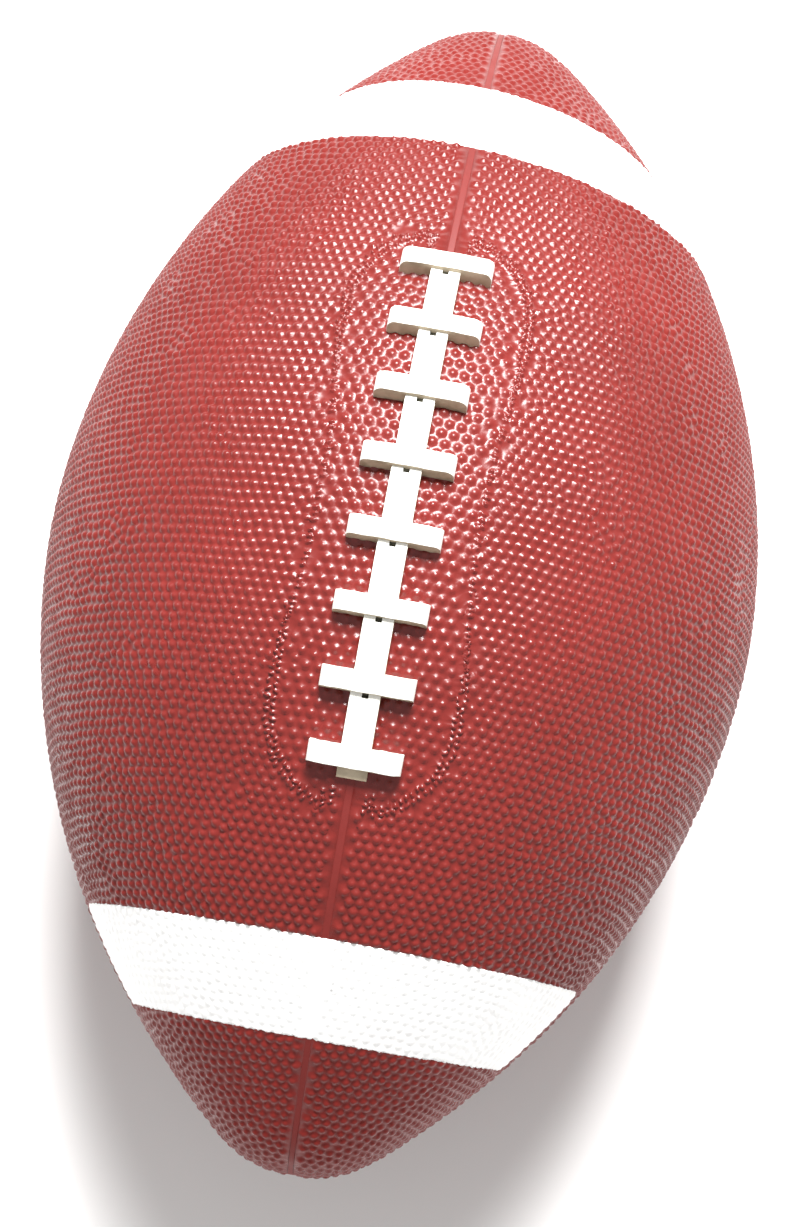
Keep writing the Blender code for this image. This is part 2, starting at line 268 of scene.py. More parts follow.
def lace_place(points):
    """Arc and side of map points."""
    side = (points[:, 1] - LACE_ANGLE) * cover.radius_at(points[:, 0])
    return cover.arc_at_u(points[:, 0]), side


# ---- pieces and meshes

def new_piece(name, points, faces):
    mesh = bpy.data.meshes.new(f"{name}_fine")
    mesh.from_pydata([tuple(p) for p in points], [], [tuple(f) for f in faces])
    mesh.update()
    mesh.shade_smooth()
    piece = bpy.data.objects.new(f"{name}_fine", mesh)
    bpy.context.scene.collection.objects.link(piece)
    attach(piece, "root")
    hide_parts(name)
    return piece


def assign(piece, *materials):
    piece.data.materials.clear()
    for material in materials:
        piece.data.materials.append(material)


def triangulate(points, edges=()):
    """Delaunay triangles of flat points, as new points, triangles and each one's first source."""
    made = delaunay_2d_cdt([Vector(p) for p in points.tolist()], list(edges), [], 0, 1e-9, True)
    source = np.array([ids[0] if ids else -1 for ids in made[3]])
    return np.array([(v.x, v.y) for v in made[0]]), np.array(made[2]), source


def new_places(count, source):
    """Where each of the points given to triangulate is among its new points, or -1."""
    places = np.full(count, -1)
    places[source[source >= 0]] = np.flatnonzero(source >= 0)
    return places


def outer_loop(count, start=0):
    return [(start + i, start + (i + 1) % count) for i in range(count)]


def closed_shell(top_points, top_faces, loops, low_points, low_faces, low_loops):
    """Joins an upper and a lower surface with walls along matching loops."""
    count = len(top_points)
    faces = [tuple(f) for f in top_faces]
    faces += [(f[0] + count, f[2] + count, f[1] + count) for f in low_faces]
    for above, below in zip(loops, low_loops):
        for i in range(len(above)):
            j = (i + 1) % len(above)
            faces.append((above[j], above[i], below[i] + count, below[j] + count))
    return np.concatenate([top_points, low_points]), faces


def near_line(low, high, size):
    return np.linspace(low, high, max(2, int(math.ceil(abs(high - low) / size)) + 1))


# ---- the border around the lace

def border_half_width(arc):
    """Distance from the lace's middle line to the border."""
    share = blend(np.abs(arc), BORDER_WAIST_REACH, BORDER_FLARE)
    width = BORDER_WAIST + (BORDER_WIDE - BORDER_WAIST) * share**2 * (3.0 - 2.0 * share)
    into_cap = blend(np.abs(arc), BORDER_CAP_START, BORDER_CAP_LENGTH)
    return width * np.sqrt(1.0 - into_cap**2)


def border_path(hand):
    """The border's middle line on one side of the lace, evenly spaced, as (arc, side)."""
    turn = np.linspace(-1.0, 1.0, 2401)
    arc = (BORDER_CAP_START + BORDER_CAP_LENGTH) * np.sin(turn * math.pi / 2.0)
    side = border_half_width(arc)
    keep = side > BORDER_END_SIDE
    path = np.stack([arc[keep], hand * side[keep]], axis=-1)
    first = path[0] + [BORDER_TURN_BACK, 0.0]
    last = path[-1] - [BORDER_TURN_BACK, 0.0]
    path = np.concatenate([[first], path, [last]])
    length = np.concatenate([[0.0], np.cumsum(np.hypot(*np.diff(path, axis=0).T))])
    even = np.linspace(0.0, length[-1], int(length[-1] / BORDER_STEP))
    return np.stack([np.interp(even, length, path[:, i]) for i in (0, 1)], axis=-1)


def border_spread(arc):
    """Half the distance between the two rows of chips, zero where there are stitches."""
    return CHIP_SPREAD * blend(np.abs(arc), CHIP_START, CHIP_BLEND)


def border_bumps(hand):
    """The border's bumps, one a row: arc, side, lean, half length, half width and height."""
    path = border_path(hand)
    tangent = np.gradient(path, axis=0)
    tangent /= np.linalg.norm(tangent, axis=1)[:, None]
    normal = np.stack([-tangent[:, 1], tangent[:, 0]], axis=-1)
    across = [math.atan2(y, x) for x, y in normal.tolist()]
    reach = len(path) * BORDER_STEP
    rows = []
    for group in np.arange(0.0, reach, STITCH_GROUP):
        for step in (-1.0, 0.0, 1.0):
            at = int((group + step * STITCH_STEP + rng.normal(0.0, 0.08 * MM)) / BORDER_STEP)
            if 0 <= at < len(path) and border_spread(path[at, 0]) == 0.0:
                lean = across[at] + hand * STITCH_LEAN + rng.normal(0.0, 0.15)
                place = path[at] + normal[at] * rng.normal(0.0, 0.10 * MM)
                rows.append([*place, lean, *STITCH_SIZE])
    for row in (-1.0, 1.0):
        stagger = (0.5 + 0.25 * row) * CHIP_STEP
        for along in np.arange(0.0, reach, CHIP_STEP):
            at = int((along + stagger + rng.normal(0.0, 0.12 * MM)) / BORDER_STEP)
            if 0 <= at < len(path) and border_spread(path[at, 0]) > 0.0:
                lean = across[at] + rng.normal(0.0, 0.7)
                offset = row * float(border_spread(path[at, 0])) + rng.normal(0.0, 0.22 * MM)
                rows.append([*(path[at] + normal[at] * offset), lean, *CHIP_SIZE])
    bumps = np.array(rows)
    bumps[:, 3:6] *= rng.uniform(0.72, 1.22, (len(bumps), 3))
    return bumps


def distance_to_border(arc, side, hand):
    path = border_path(hand)[::4]
    best = np.full(len(arc), 1.0)
    for point in path:
        best = np.minimum(best, np.hypot(arc - point[0], side - point[1]))
    return best


# ---- the pebble layout

class Panel:
    """One quarter of the cover, from start to start + 90 degrees about the axis.

    hand is -1 or 1 for the panels beside the lace and 0 for the two on the belly.
    """

    def __init__(self, name, start_degrees, hand, has_valve):
        self.name = name
        self.start = math.radians(start_degrees)
        self.end = self.start + math.pi / 2.0
        self.hand = hand
        self.has_valve = has_valve
        self.reach = float(cover.u_at_radius(1.5 * PANEL_EDGE))

    def limits(self, u, clear):
        """The angles between which the panel lies, less a clear distance at both seams."""
        radius = cover.radius_at(u)
        return self.start + clear / radius, self.end - clear / radius

    def seam_clear(self, u):
        share = blend(cover.radius_at(u), 22.0 * MM, 30.0 * MM)
        return SEAM_CLEAR_TIP + (SEAM_CLEAR_WIDE - SEAM_CLEAR_TIP) * share

    def confine(self, points):
        """Moves points that lie too near a tip or a seam back into the panel."""
        points[:, 0] = np.clip(points[:, 0], -TIP_U, TIP_U)
        low, high = self.limits(points[:, 0], self.seam_clear(points[:, 0]))
        middle = (low + high) / 2.0
        points[:, 1] = np.clip(points[:, 1], np.minimum(low, middle), np.maximum(high, middle))
        return points

    def valve_distance(self, points):
        off = np.hypot(points[:, 0], points[:, 1] - VALVE_ANGLE)
        return off * cover.radius_at(points[:, 0])

    def outside_valve(self, flat, triangles):
        """The triangles that aren't in the valve's hole."""
        if not self.has_valve:
            return triangles
        middle = flat[triangles].mean(axis=1)
        return triangles[self.valve_distance(middle) > 0.999 * VALVE_HOLE]

    def first_layout(self, pitch):
        """Rings of pebbles about the axis, alternate rings shifted by half a pebble."""
        rows = []
        u = -TIP_U
        shift = 0.0
        while u < TIP_U:
            low, high = self.limits(u, float(self.seam_clear(u)))
            step = pitch / float(cover.radius_at(u))
            count = max(1, int(round((high - low) / step)))
            places = low + (high - low) * (np.arange(count) + 0.25 + 0.5 * shift) / count
            rows.append(np.stack([np.full(count, u), places], axis=-1))
            u += step * math.sqrt(3.0) / 2.0
            shift = 1.0 - shift
        points = np.concatenate(rows)
        jitter = rng.normal(0.0, JITTER, points.shape) * pitch
        return points + jitter / cover.radius_at(points[:, 0])[:, None]


def neighbours(points):
    """Pairs of neighbouring points, their distances and the Delaunay triangles."""
    _, triangles, source = triangulate(points)
    triangles = source[triangles]
    pairs = np.concatenate([triangles[:, [0, 1]], triangles[:, [1, 2]], triangles[:, [2, 0]]])
    a, b = np.unique(np.sort(pairs, axis=1), axis=0).T
    radius = cover.radius_at(points[:, 0])
    length = np.linalg.norm(points[b] - points[a], axis=1) * (radius[a] + radius[b]) / 2.0
    return a, b, length, triangles


class Grain:
    """The raised bumps of one panel: places, half sizes, lean and height."""

    def __init__(self, panel):
        self.panel = panel
        points = panel.confine(panel.first_layout(PEBBLE_PITCH))
        border = np.zeros((0, 6))
        if panel.hand:
            buttons = panel.confine(panel.first_layout(BUTTON_PITCH))
            points = np.concatenate([points[~self.is_button(points)], buttons[self.is_button(buttons)]])
            border = border_bumps(panel.hand)
            arc, side = lace_place(points)
            away = distance_to_border(arc, side, panel.hand) - border_spread(arc)
            points = points[away > BORDER_CLEAR]
        if panel.has_valve:
            points = points[panel.valve_distance(points) > VALVE_CLEAR]
        fixed = lace_map(border[:, 0], border[:, 1])
        self.free_count = len(points)
        self.points = np.concatenate([self.relax(points, fixed), fixed])
        self.describe(border)
        self.ink_vertices = self.vertices()

    def is_button(self, points):
        """True for the pebbles inside the border."""
        if not self.panel.hand:
            return np.zeros(len(points), bool)
        arc, side = lace_place(points)
        return np.abs(side) < border_half_width(arc)

    def relax(self, points, fixed):
        """Pebbles push each other apart until they fill the panel evenly."""
        for _ in range(RELAX_STEPS):
            everything = np.concatenate([points, fixed])
            a, b, length, _ = neighbours(everything)
            room = np.where(self.is_button(everything), BUTTON_PITCH, PEBBLE_PITCH)
            room[self.free_count:] = BORDER_BUMP_ROOM
            want = (room[a] + room[b]) / 2.0
            pull = np.clip((length - want) / np.maximum(length, 1e-6), -0.5, 0.10)
            pull[length > 1.55 * want] = 0.0
            move = (everything[b] - everything[a]) * (RELAX_RATE * pull)[:, None]
            change = np.zeros_like(everything)
            np.add.at(change, a, move)
            np.add.at(change, b, -move)
            points = self.panel.confine(points + change[: self.free_count])
            if self.panel.has_valve:
                points = self.keep_off_valve(points)
        return points

    def keep_off_valve(self, points):
        centre = np.array([0.0, VALVE_ANGLE])
        distance = self.panel.valve_distance(points)
        push = np.where(distance < VALVE_CLEAR, VALVE_CLEAR / np.maximum(distance, 1e-6), 1.0)
        return centre + (points - centre) * push[:, None]

    def describe(self, border):
        """Gives every bump its half sizes, lean and height, and makes a tree to find them by."""
        a, b, length, self.triangles = neighbours(self.points)
        nearest = np.full(len(self.points), 1.0)
        both_free = (a < self.free_count) & (b < self.free_count)
        np.minimum.at(nearest, a[both_free], length[both_free])
        np.minimum.at(nearest, b[both_free], length[both_free])
        inside = self.is_button(self.points)
        size = np.clip(rng.normal(1.0, 0.06, len(self.points)), 0.84, 1.12)
        wide = np.where(inside, BUTTON_FILL * BUTTON_PITCH, PEBBLE_FILL * PEBBLE_PITCH) * size
        self.across = np.minimum(wide, 0.485 * nearest)
        self.along = self.across.copy()
        self.lean = np.zeros(len(self.points))
        self.height = np.where(inside, BUTTON_HEIGHT, PEBBLE_HEIGHT) * size
        self.height *= np.clip(self.across / (0.40 * PEBBLE_PITCH), 0.4, 1.05)
        past_band = blend(np.abs(self.points[:, 0]), cover.u_at_x(BAND_INNER_X), TIP_FADE)
        self.height *= 1.0 - (1.0 - TIP_RELIEF) * past_band
        self.lean[self.free_count:] = border[:, 2]
        self.along[self.free_count:] = border[:, 3]
        self.across[self.free_count:] = border[:, 4]
        self.height[self.free_count:] = border[:, 5]
        self.tree = map_tree(self.points)

    def surface(self, u, angle):
        """Height of the grain at a map point."""
        best = 0.0
        radius = float(cover.radius_at(u))
        for place, index, distance in self.tree.find_n((u, angle, 0.0), 3):
            turn = math.atan2(angle - place[1], u - place[0]) - self.lean[index]
            reach = math.hypot(
                math.cos(turn) * distance * radius / self.along[index],
                math.sin(turn) * distance * radius / self.across[index],
            )
            level = np.interp(reach, [0.0, SHOULDER_REACH, 1.0], [1.0, SHOULDER_LEVEL, 0.0])
            best = max(best, float(level) * self.height[index])
        return best

    def vertices(self):
        """Map points and heights of every bump's top, rings and the valleys between bumps."""
        radius = cover.radius_at(self.points[:, 0])
        twist = rng.uniform(0.0, 1.0, len(self.points))
        layers = [(self.points, self.height)]
        c, s = np.cos(self.lean), np.sin(self.lean)
        for share, count, level in ((SHOULDER_REACH, 5, SHOULDER_LEVEL), (FOOT_REACH, 8, 0.0)):
            for k in range(count):
                angle = TAU * (k + twist) / count
                forward = share * self.along * np.cos(angle)
                sideways = share * self.across * np.sin(angle)
                step = np.stack([forward * c - sideways * s, forward * s + sideways * c], axis=-1)
                layers.append((self.points + step / radius[:, None], self.height * level))
        corner = self.points[self.triangles]
        middle = corner.mean(axis=1)
        sides = np.linalg.norm(corner - corner[:, [1, 2, 0]], axis=2)
        sides *= cover.radius_at(middle[:, 0])[:, None]
        middle = middle[(sides.max(axis=1) < 1.9 * PEBBLE_PITCH) & (sides.min(axis=1) > 1.7 * MM)]
        layers.append((middle, np.full(len(middle), -VALLEY_DEPTH)))
        return np.concatenate([p for p, _ in layers]), np.concatenate([h for _, h in layers])


def map_tree(points):
    """A tree that finds the nearest of some map points."""
    tree = KDTree(len(points))
    for index, (u, angle) in enumerate(points.tolist()):
        tree.insert((u, angle, 0.0), index)
    tree.balance()
    return tree


def distance_to_points(points, line):
    """Distance on the ball from each map point to the nearest of the line's points."""
    tree = map_tree(line)
    away = np.array([tree.find((u, angle, 0.0))[2] for u, angle in points.tolist()])
    return away * cover.radius_at(points[:, 0])


# ---- printed band outlines

def band_outline(sign):
    """The band's outline on the map, with round corners and a slightly ragged edge."""
    middle = (BAND_OUTER_X + BAND_INNER_X) / 2.0
    half_width = (BAND_OUTER_X - BAND_INNER_X) / 2.0
    radius = float(cover.radius_at(cover.u_at_x(middle)))
    half_sweep = (math.pi / 2.0 - BAND_END_ANGLE) * radius
    corners = []
    for quarter, (x_side, y_side) in enumerate([(1.0, 1.0), (-1.0, 1.0), (-1.0, -1.0), (1.0, -1.0)]):
        for k in range(7):
            turn = math.pi * (0.5 * quarter + 0.5 * k / 6.0)
            x = x_side * (half_width - BAND_CORNER) + BAND_CORNER * math.cos(turn)
            y = y_side * (half_sweep - BAND_CORNER) + BAND_CORNER * math.sin(turn)
            corners.append((x, y))
    corners = np.array(corners + corners[:1])
    length = np.concatenate([[0.0], np.cumsum(np.hypot(*np.diff(corners, axis=0).T))])
    even = np.linspace(0.0, length[-1], int(length[-1] / BAND_RIM_STEP))[:-1]
    x = middle + np.interp(even, length, corners[:, 0]) + rng.normal(0.0, BAND_RAGGED, len(even))
    y = np.interp(even, length, corners[:, 1]) + rng.normal(0.0, BAND_RAGGED, len(even))
    sweep = y / radius
    x = sign * (x - BAND_BOW * (1.0 - np.cos(sweep)))
    if sign > 0.0:
        x -= FRONT_BAND_SKEW * np.sin(sweep)
    return np.stack([cover.u_at_x(x), LACE_ANGLE + sweep], axis=-1)


BAND_OUTLINES = {1.0: band_outline(1.0), -1.0: band_outline(-1.0)}


def inside_loop(points, loop):
    """True for each flat point inside the closed loop."""
    inside = np.zeros(len(points), bool)
    x, y = points[:, 0], points[:, 1]
    for (x0, y0), (x1, y1) in zip(loop, np.roll(loop, -1, axis=0)):
        crosses = (y0 > y) != (y1 > y)
        if crosses.any():
            meet = x0 + (y[crosses] - y0) * (x1 - x0) / (y1 - y0)
            inside[np.flatnonzero(crosses)[x[crosses] < meet]] ^= True
    return inside


# ---- cover panels

def panel_outline(panel):
    """The panel's edge on the map, anticlockwise."""
    arcs = near_line(cover.arc_at_u(-panel.reach), cover.arc_at_u(panel.reach), EDGE_STEP)
    u = cover.u_at_arc(arcs)
    low, high = panel.limits(u, PANEL_EDGE)
    return np.concatenate([np.stack([u, low], axis=-1), np.stack([u, high], axis=-1)[::-1]])


def valve_ring(radius):
    turn = TAU * np.arange(VALVE_RING_POINTS) / VALVE_RING_POINTS
    u = radius / MAX_RADIUS * np.cos(turn)
    return np.stack([u, VALVE_ANGLE + radius / MAX_RADIUS * np.sin(turn)], axis=-1)


def panel_top(panel, grain):
    """The grained upper side: map points, heights, edges between them and closed loops.

    The points of the panel's outline come first, then the valve's collar and the rims of the
    printed bands, and the grain last. The loops are lists of points to join to the underside.
    """
    points, heights = grain.vertices()
    low, high = panel.limits(points[:, 0], PANEL_EDGE + RIM_CLEAR)
    keep = (points[:, 1] > low) & (points[:, 1] < high)
    keep &= np.abs(points[:, 0]) < panel.reach - RIM_CLEAR / cover.radius_at(panel.reach)
    outline = panel_outline(panel)
    start = len(outline)
    fixed_points = [outline]
    fixed_heights = [np.zeros(start)]
    edges = outer_loop(start)
    loops = [np.arange(start)]
    if panel.has_valve:
        keep &= panel.valve_distance(points) > VALVE_COLLAR + 0.12 * MM
        loops.append(start + np.arange(VALVE_RING_POINTS)[::-1])
        for radius, height in VALVE_PROFILE:
            edges += outer_loop(VALVE_RING_POINTS, start)
            start += VALVE_RING_POINTS
            fixed_points.append(valve_ring(radius))
            fixed_heights.append(np.full(VALVE_RING_POINTS, height))
    bands = BAND_OUTLINES.values() if panel.hand else ()
    for band in bands:
        low, high = panel.limits(band[:, 0], RIBBON_HALF_WIDTH + RIM_CLEAR)
        used = (band[:, 1] > low) & (band[:, 1] < high)
        rim = band[used]
        joined = np.diff(np.flatnonzero(used)) == 1
        edges += [(start + i, start + i + 1) for i in np.flatnonzero(joined)]
        start += len(rim)
        fixed_points.append(rim)
        fixed_heights.append(INK_RELIEF * np.array([grain.surface(u, a) for u, a in rim.tolist()]))
        keep &= distance_to_points(points, rim) > BAND_RIM_CLEAR
    points = points[keep]
    heights = heights[keep]
    for band in bands:
        inked = inside_loop(points, band)
        heights[inked] = INK_RELIEF * heights[inked] - INK_RECESS
    points = np.concatenate(fixed_points + [points])
    heights = np.concatenate(fixed_heights + [heights])
    return points, heights, edges, loops


def panel_underside(panel, rims):
    """The plain inner side between the rims: map points, triangles and closed loops."""
    coarse = []
    for u in np.linspace(-panel.reach, panel.reach, 40)[1:-1]:
        low, high = panel.limits(u, 3.0 * MM)
        if high > low:
            coarse.append(np.stack([np.full(8, u), np.linspace(low, high, 8)], axis=-1))
    coarse = np.concatenate(coarse)
    if panel.has_valve:
        coarse = coarse[panel.valve_distance(coarse) > VALVE_HOLE + 2.0 * MM]
    points = np.concatenate(rims + [coarse])
    edges = []
    loops = []
    start = 0
    for rim in rims:
        edges += outer_loop(len(rim), start)
        loops.append(start + np.arange(len(rim)))
        start += len(rim)
    flat, triangles, source = triangulate(points, edges)
    places = new_places(len(points), source)
    return flat, panel.outside_valve(flat, triangles), [places[loop] for loop in loops]


def build_panel(panel, grain):
    points, heights, edges, loops = panel_top(panel, grain)
    flat, triangles, source = triangulate(points, edges)
    triangles = panel.outside_valve(flat, triangles)
    lifted = np.where(source >= 0, heights[source], 0.0)
    places = new_places(len(points), source)
    top = cover.point(flat[:, 0], flat[:, 1], SKIN_LIFT + lifted)
    top_loops = [places[loop] for loop in loops]
    low_flat, low_triangles, low_loops = panel_underside(panel, [points[loop] for loop in loops])
    bottom = cover.point(low_flat[:, 0], low_flat[:, 1], -PANEL_DEPTH)
    shell, faces = closed_shell(top, triangles, top_loops, bottom, low_triangles, low_loops)
    return new_piece(panel.name, shell, faces)


# ---- seams

def ribbon_profile(share):
    """Lift of a seam ribbon at a share of its half width: nearly flat, with buried edges."""
    return np.interp(np.abs(share), RIBBON_STEPS, RIBBON_LIFTS)


def ribbon_half_width(radius):
    """Half the ribbon's width where the cover has this radius, with a round pad at the tip."""
    share = blend(radius, 15.0 * MM, 35.0 * MM)
    width = RIBBON_TIP_WIDTH + (RIBBON_HALF_WIDTH - RIBBON_TIP_WIDTH) * share
    pad = np.sqrt(np.maximum(0.0, TIP_PAD_RADIUS**2 - radius**2))
    return np.maximum(width, pad)


def ribbon_rows(arcs, angle):
    """Rows of points across a seam along a meridian, and a buried row under each.

    Near a tip, where the ribbon is wide beside the cover's radius, its points are laid out
    straight across the seam instead of about the axis.
    """
    rows = []
    lows = []
    outward = np.array([0.0, math.cos(angle), math.sin(angle)])
    sideways = np.array([0.0, -math.sin(angle), math.cos(angle)])
    for arc in arcs:
        u = float(cover.u_at_arc(arc))
        radius = float(cover.radius_at(u))
        offsets = RIBBON_SHARES * float(ribbon_half_width(radius))
        lift = SKIN_LIFT + ribbon_profile(RIBBON_SHARES)
        if radius > 40.0 * MM:
            row = cover.point(np.full(len(offsets), u), angle + offsets / radius, lift)
        else:
            reach = np.hypot(radius, offsets)
            beyond = cover.u_at_radius(reach)
            x = cover.x_at_radius(reach) + lift * np.interp(beyond, cover.u, cover.normal_x)
            out = 1.0 + lift * np.interp(beyond, cover.u, cover.normal_r) / np.maximum(reach, 0.4 * MM)
            row = radius * outward * out[:, None] + sideways * (offsets * out)[:, None]
            row[:, 0] = math.copysign(1.0, arc) * x
        rows.append(row)
        inner = row[1:-1].copy()
        lows.append(inner * (1.0 - RIBBON_DEPTH / np.linalg.norm(inner, axis=1))[:, None])
    return rows, lows


def build_ribbon(name, stretches, closed):
    """A seam ribbon over one or more stretches of (first arc, last arc, angle)."""
    rows = []
    lows = []
    for first, last, angle in stretches:
        arcs = near_line(first, last, EDGE_STEP)
        if closed:
            arcs = arcs[:-1]
        made, low = ribbon_rows(arcs, angle)
        if last < first:
            made = [row[::-1] for row in made]
            low = [row[::-1] for row in low]
        rows += made
        lows += low
    count = len(rows)
    ring = len(rows[0]) + len(lows[0])
    points = np.concatenate([np.concatenate([row, low[::-1]]) for row, low in zip(rows, lows)])
    faces = []
    for i in range(count if closed else count - 1):
        a = i * ring
        b = ((i + 1) % count) * ring
        for k in range(ring):
            n = (k + 1) % ring
            faces.append((a + k, b + k, b + n, a + n))
    if not closed:
        faces += end_caps(ring, count)
    return new_piece(name, points, faces)


def end_caps(ring, count):
    """The two end faces of a bar made of count rings of points."""
    return [tuple(range(ring)), tuple(range((count - 1) * ring, count * ring))[::-1]]


def build_seams():
    end = float(cover.arc[-1])
    loop = [(-end, end, LACE_ANGLE), (end, -end, -LACE_ANGLE)]
    stop = float(cover.arc_at_u(cover.u_at_radius(1.0 * MM)))
    return (
        build_ribbon("seam_strip_lace_loop", loop, True),
        build_ribbon("seam_strip_left", [(-stop, stop, 0.0)], False),
        build_ribbon("seam_strip_right", [(-stop, stop, math.pi)], False),
    )


# ---- printed bands

def band_rim_heights(outline, grains):
    """Heights of the band's edge, over the grain of both panels and the seam between them."""
    heights = []
    for u, angle in outline.tolist():
        radius = float(cover.radius_at(u))
        share = abs(angle - LACE_ANGLE) * radius / float(ribbon_half_width(radius))
        if share < 1.0:
            heights.append(float(ribbon_profile(share)) + BAND_OVER_SEAM)
        else:
            grain = grains[0] if angle < LACE_ANGLE else grains[1]
            heights.append(INK_RELIEF * grain.surface(u, angle))
    return np.array(heights)


def band_surface(sign, outline, grains):
    """Map points and heights of the ink over the grain and over the seam."""
    points = []
    heights = []
    for grain in grains:
        bumps, bump_heights = grain.ink_vertices
        points.append(bumps)
        heights.append(INK_RELIEF * bump_heights)
    ends = cover.arc_at_u(cover.u_at_x(sign * np.array([BAND_INNER_X, BAND_OUTER_X])))
    shares = RIBBON_SHARES[1:-1]
    for u in cover.u_at_arc(near_line(ends.min(), ends.max(), 0.5 * MM)):
        radius = float(cover.radius_at(u))
        offsets = shares * float(ribbon_half_width(radius))
        points.append(np.stack([np.full(len(shares), u), LACE_ANGLE + offsets / radius], axis=-1))
        heights.append(ribbon_profile(shares) + BAND_OVER_SEAM)
    points = np.concatenate(points)
    heights = np.concatenate(heights)
    inside = inside_loop(points, outline)
    points = points[inside]
    heights = heights[inside]
    keep = distance_to_points(points, outline) > BAND_RIM_CLEAR
    return points[keep], heights[keep]


def build_band(name, sign, grains):
    outline = BAND_OUTLINES[sign]
    area = np.sum(outline[:, 0] * np.roll(outline[:, 1], -1) - outline[:, 1] * np.roll(outline[:, 0], -1))
    if area < 0.0:
        outline = outline[::-1]
    inner, inner_heights = band_surface(sign, outline, grains)
    points = np.concatenate([outline, inner])
    heights = np.concatenate([band_rim_heights(outline, grains), inner_heights])
    rim = outer_loop(len(outline))
    flat, triangles, source = triangulate(points, rim)
    triangles = triangles[inside_loop(flat[triangles].mean(axis=1), outline)]
    lifted = np.where(source >= 0, heights[source], 0.0) + BAND_COAT
    top_loop = new_places(len(points), source)[: len(outline)]
    low_flat, low_triangles, low_source = triangulate(outline, rim)
    low_triangles = low_triangles[inside_loop(low_flat[low_triangles].mean(axis=1), outline)]
    low_loop = new_places(len(outline), low_source)
    top = cover.point(flat[:, 0], flat[:, 1], SKIN_LIFT + lifted)
    bottom = cover.point(low_flat[:, 0], low_flat[:, 1], SKIN_LIFT - BAND_DEPTH)
    shell, faces = closed_shell(top, triangles, [top_loop], bottom, low_triangles, [low_loop])
    return new_piece(name, shell, faces)


# ---- lace

def finish_edges(piece, sharp_degrees, bevel_width=0.0):
    """Turns faces outwards, rounds edges over 40 degrees and keeps sharper ones crisp."""
    bm = bmesh.new()
    bm.from_mesh(piece.data)
    bmesh.ops.recalc_face_normals(bm, faces=bm.faces)
    if bevel_width:
        bent = math.radians(40.0)
        edges = [e for e in bm.edges if e.is_manifold and e.calc_face_angle(0.0) > bent]
        bmesh.ops.bevel(
            bm, geom=edges, offset=bevel_width, offset_type="OFFSET", segments=3, profile=0.5,
            affect="EDGES", clamp_overlap=True,
        )
    bm.to_mesh(piece.data)
    bm.free()
    piece.data.shade_smooth()
    piece.data.set_sharp_from_angle(angle=math.radians(sharp_degrees))


def lace_frame(arc):
    """Middle point, directions and the cover's radius of bend across the lace, at an arc."""
    u = float(cover.u_at_arc(arc))
    middle = cover.point(np.array([u]), np.array([LACE_ANGLE]))[0]
    up = np.array([np.interp(u, cover.u, cover.normal_x), 0.0, np.interp(u, cover.u, cover.normal_r)])
    along = np.array([up[2], 0.0, -up[0]])
    return middle, along, up, float(cover.radius_at(u)) / up[2]


def bar_arc(number):
    return LACE_SHIFT + (number - (BAR_COUNT + 1) / 2.0) * BAR_PITCH


def spine_section():
    """The top of the spine's cross section, as (side, drop), with corners for the notch."""
    half = SPINE_WIDTH / 2.0
    notch = NOTCH_WIDTH / 2.0
    right_side = [(notch - 0.03 * MM, 0.0), (notch + 0.03 * MM, 0.0)]
    right_side += [(half - inset, -drop) for inset, drop in SPINE_CORNER]
    return [(-side, drop) for side, drop in reversed(right_side)] + right_side


def spine_notches():
    """Where the notches start and end: one behind each bar but the rear one, reaching under it."""
    faces = [bar_arc(number) - BAR_WIDTH / 2.0 for number in range(2, BAR_COUNT + 1)]
    return [(face - NOTCH_LENGTH, face + NOTCH_UNDER_BAR) for face in faces]


def spine_stations(rear_end, rear_body, notches):
    """Arcs of the spine's cross sections, closest together at the tab and at the notches."""
    front_end = bar_arc(BAR_COUNT) + BAR_WIDTH / 2.0 - SPINE_INSET
    stations = {
        rear_end, rear_end + 0.12 * MM, rear_end + 0.45 * MM,
        rear_body, rear_body + 0.25 * MM, front_end,
    }
    for number in range(1, BAR_COUNT + 1):
        face = bar_arc(number) - BAR_WIDTH / 2.0
        stations.update(face + step for step in SPINE_STATIONS)
    for start, end in notches:
        stations.update([start - 0.04 * MM, start + 0.04 * MM, end])
    return sorted(s for s in stations if rear_end <= s <= front_end)


